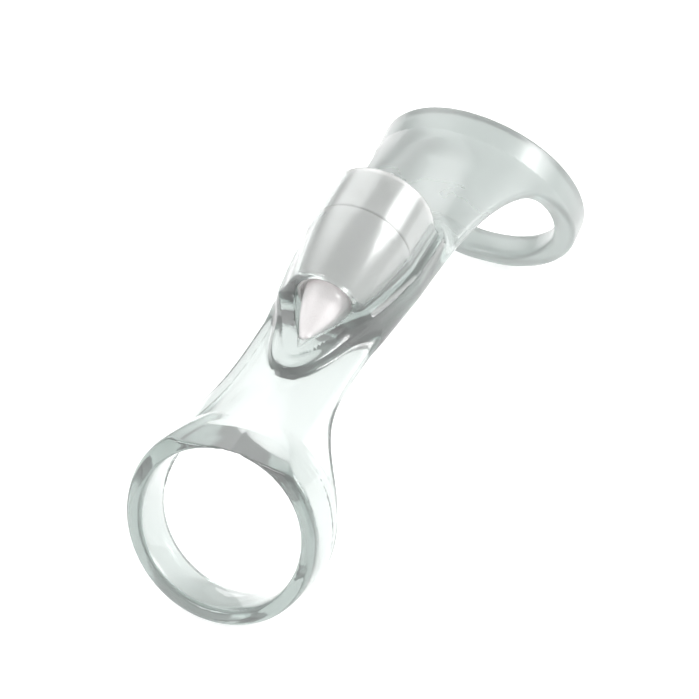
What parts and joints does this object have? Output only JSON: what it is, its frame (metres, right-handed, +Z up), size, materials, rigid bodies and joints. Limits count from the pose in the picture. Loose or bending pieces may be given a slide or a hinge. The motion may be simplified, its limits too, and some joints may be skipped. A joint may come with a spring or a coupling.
{
  "type": "two-ring massager sleeve",
  "caption": "Clear elastomer sleeve with a small ring and a large ring joined by a curved spine, which holds a removable battery vibrator in a pocket.",
  "frame": {"origin": "middle of the footprint, at floor level, with the sleeve standing on both rings", "axes": "+X along the sleeve from the small ring to the large ring, +Z up, XZ is the plane of symmetry"},
  "size_m": [0.1204, 0.042, 0.0508],
  "materials": {
    "clear_tpe": "glossy, clear with a faint grey-green tint",
    "pearl_silver": "pearly silver, satin gloss",
    "button_ivory": "satin ivory",
    "black_rubber": "matt",
    "board_green": "satin solder mask",
    "black_plastic": "matt",
    "white_plastic": "satin",
    "steel": "bright plated",
    "brass": "bright",
    "copper": "enamelled winding",
    "magnet_grey": "sintered",
    "tungsten": "sintered",
    "red_insulation": "satin"
  },
  "bodies": {
    "sleeve_body": {"sleeve": "clear_tpe"},
    "bullet_body": {"bullet_barrel": "pearl_silver", "cap_seal": "black_rubber", "cell_1": "steel", "cell_2": "steel", "cell_3": "steel", "cell_holder": "white_plastic", "front_contact": "brass", "return_strip": "brass", "motor_lead": "red_insulation", "motor_grommet": "black_rubber", "motor_can": "steel", "motor_end_cap": "black_plastic", "motor_magnet": "magnet_grey", "front_bearing": "brass", "rear_bearing": "brass"},
    "cap_body": {"rear_cap": "pearl_silver", "button_seal": "black_rubber", "switch_body": "black_plastic", "circuit_board": "board_green", "contact_spring": "steel"},
    "button_body": {"push_button": "button_ivory"},
    "plunger_body": {"switch_plunger": "white_plastic"},
    "rotor_body": {"rotor_coil": "copper", "rotor_shaft": "steel", "eccentric_weight": "tungsten"}
  },
  "joints": [
    {"name": "bullet_slide", "type": "slide", "parent": "sleeve_body", "child": "bullet_body", "axis": [0.977, 0, 0.213], "range_m": [0, 0.036]},
    {"name": "cap_slide", "type": "slide", "parent": "bullet_body", "child": "cap_body", "axis": [0.977, 0, 0.213], "range_m": [0, 0.007]},
    {"name": "button_press", "type": "slide", "parent": "cap_body", "child": "button_body", "axis": [-0.977, 0, -0.213], "range_m": [0, 0.0005], "stiffness_N_per_m": 800},
    {"name": "plunger_press", "type": "slide", "parent": "cap_body", "child": "plunger_body", "axis": [-0.977, 0, -0.213], "range_m": [0, 0.0005]},
    {"name": "motor_spin", "type": "hinge", "parent": "bullet_body", "child": "rotor_body", "pos_m": [-0.01385, 0, 0.03649], "axis": [0.977, 0, 0.213], "continuous": true}
  ],
  "couplings": [
    {"joint": "plunger_press", "follows": "button_press", "ratio": 1}
  ]
}
